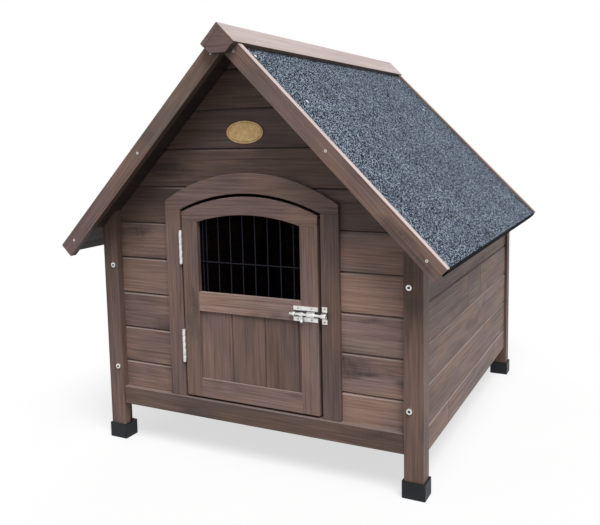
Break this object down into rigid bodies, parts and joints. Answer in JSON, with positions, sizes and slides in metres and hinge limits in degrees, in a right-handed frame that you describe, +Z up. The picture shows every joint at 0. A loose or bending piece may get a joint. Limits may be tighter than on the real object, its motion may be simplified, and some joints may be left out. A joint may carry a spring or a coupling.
{
  "type": "dog house",
  "caption": "Boarded timber dog house on four posts, with a pitched felt roof and an arched, barred front door that swings and is held by a barrel bolt.",
  "frame": {"origin": "middle of the bounding box at the level of the foot caps' undersides", "axes": "+X to the right seen from the front, +Y from the door to the back wall along the ridge, +Z up"},
  "size_m": [0.932, 1.0618, 0.9696],
  "materials": {
    "stained_wood": "grey-brown stained softwood boards, open grain and knots",
    "roof_trim_wood": "paler grey-brown stained softwood, open grain",
    "inner_wood": "stained softwood, seen only inside and under the eaves",
    "roof_felt": "blue-grey mineral roofing felt with a fine speckle",
    "foot_plastic": "black moulded plastic, satin",
    "zinc_steel": "bright zinc-plated steel",
    "grille_wire": "dark painted welded steel wire",
    "plaque_metal": "thin blank oval plaque, dull gold"
  },
  "bodies": {
    "house": {"back_bottom_rail": "stained_wood", "back_gable_boards": "stained_wood", "back_wall_boards": "stained_wood", "barge_back_left": "roof_trim_wood", "barge_back_right": "roof_trim_wood", "barge_front_left": "roof_trim_wood", "barge_front_right": "roof_trim_wood", "barge_screws": "zinc_steel", "bolt_keeper": "zinc_steel", "corner_bolts": "zinc_steel", "door_header": "stained_wood", "door_jamb_left": "stained_wood", "door_jamb_right": "stained_wood", "door_sill": "stained_wood", "floor_bearers": "inner_wood", "floor_boards": "inner_wood", "foot_cap_back_left": "foot_plastic", "foot_cap_back_right": "foot_plastic", "foot_cap_front_left": "foot_plastic", "foot_cap_front_right": "foot_plastic", "front_boards_left": "stained_wood", "front_boards_right": "stained_wood", "front_bottom_rail": "stained_wood", "front_gable_boards": "stained_wood", "gable_plaque": "plaque_metal", "hinge_leaves_frame": "zinc_steel", "hinge_pins": "zinc_steel", "hinge_screws_frame": "zinc_steel", "keeper_screws": "zinc_steel", "post_back_left": "stained_wood", "post_back_right": "stained_wood", "post_front_left": "stained_wood", "post_front_right": "stained_wood", "rafters_left": "inner_wood", "rafters_right": "inner_wood", "ridge_board_left": "roof_trim_wood", "ridge_board_right": "roof_trim_wood", "ridge_end_plate": "roof_trim_wood", "ridge_screws": "zinc_steel", "roof_boards_left": "inner_wood", "roof_boards_right": "inner_wood", "roof_felt_left": "roof_felt", "roof_felt_right": "roof_felt", "side_battens_left": "inner_wood", "side_battens_right": "inner_wood", "side_boards_left": "stained_wood", "side_boards_right": "stained_wood"},
    "door": {"door_stile_left": "stained_wood", "door_stile_right": "stained_wood", "door_bottom_rail": "stained_wood", "door_mid_rail": "stained_wood", "door_top_rail": "stained_wood", "door_panel": "stained_wood", "door_grille": "grille_wire", "hinge_leaves_door": "zinc_steel", "hinge_screws_door": "zinc_steel", "bolt_plate": "zinc_steel", "bolt_plate_screws": "zinc_steel"},
    "bolt": {"bolt_rod": "zinc_steel"},
    "knob": {"bolt_knob": "zinc_steel"}
  },
  "joints": [
    {"name": "door_hinge", "type": "hinge", "parent": "house", "child": "door", "pos_m": [-0.17475, -0.436, 0.37325], "axis": [0, 0, -1], "range_deg": [0, 140]},
    {"name": "bolt_slide", "type": "slide", "parent": "door", "child": "bolt", "axis": [1, 0, 0], "range_m": [-0.0105, 0.009]},
    {"name": "knob_turn", "type": "hinge", "parent": "bolt", "child": "knob", "pos_m": [0.1327, -0.4385, 0.3604], "axis": [-1, 0, 0], "range_deg": [0, 90]}
  ]
}
